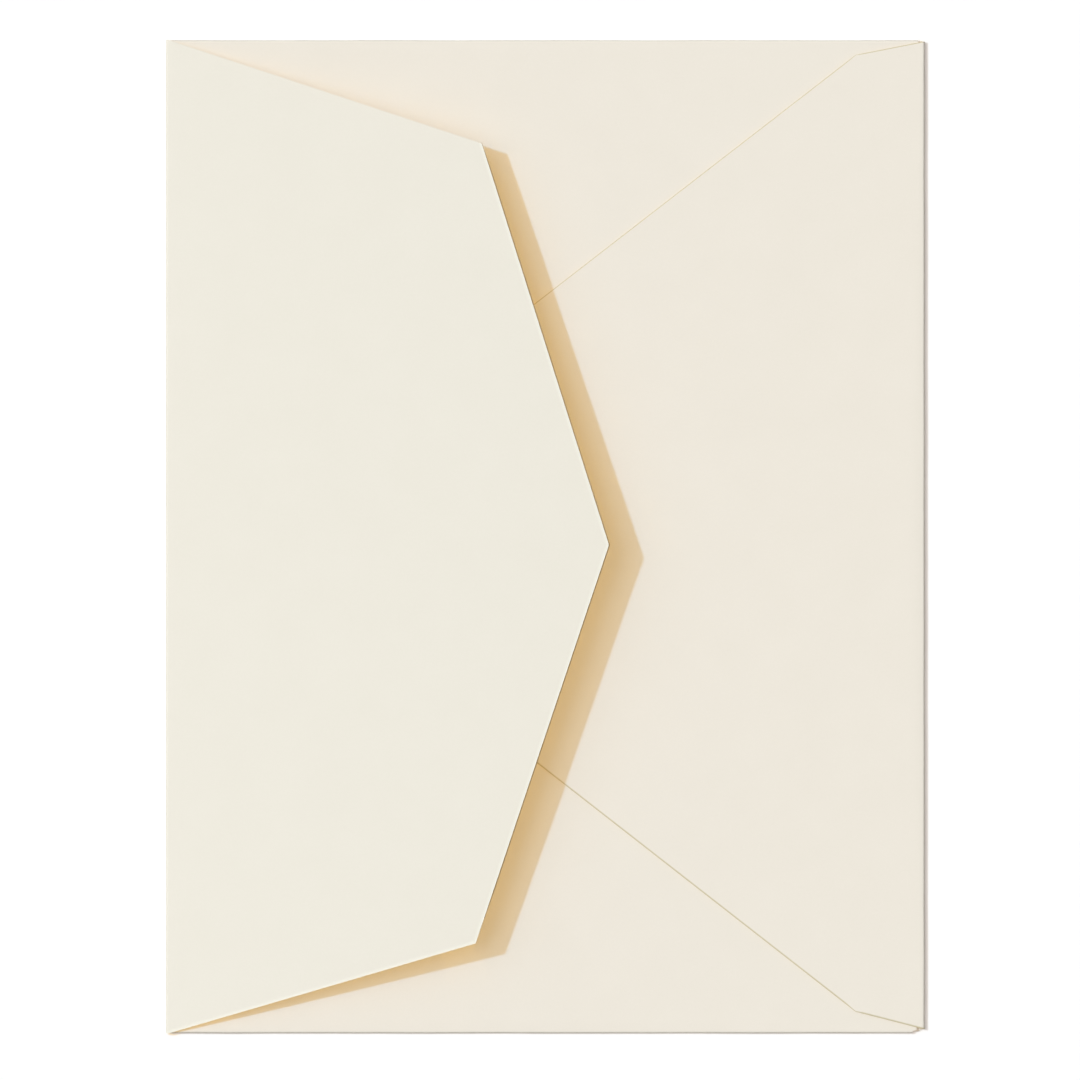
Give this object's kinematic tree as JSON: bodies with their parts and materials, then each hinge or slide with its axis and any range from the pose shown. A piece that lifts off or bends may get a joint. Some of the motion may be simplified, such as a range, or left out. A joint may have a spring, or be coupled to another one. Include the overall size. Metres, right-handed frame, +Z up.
{
  "type": "greeting card envelope",
  "caption": "Folded cream paper envelope for a greeting card, lying on its front, with glued side and bottom flaps and its pointed closure flap half lifted.",
  "frame": {"origin": "on the table, below the middle of the envelope's length and width", "axes": "+Z up out of the back, +X from the closure flap's fold to the bottom fold, +Y along both folds"},
  "size_m": [0.1116, 0.146, 0.0063],
  "materials": {
    "cream_paper": "smooth matt uncoated"
  },
  "bodies": {
    "root": {"envelope": "cream_paper"}
  },
  "joints": []
}
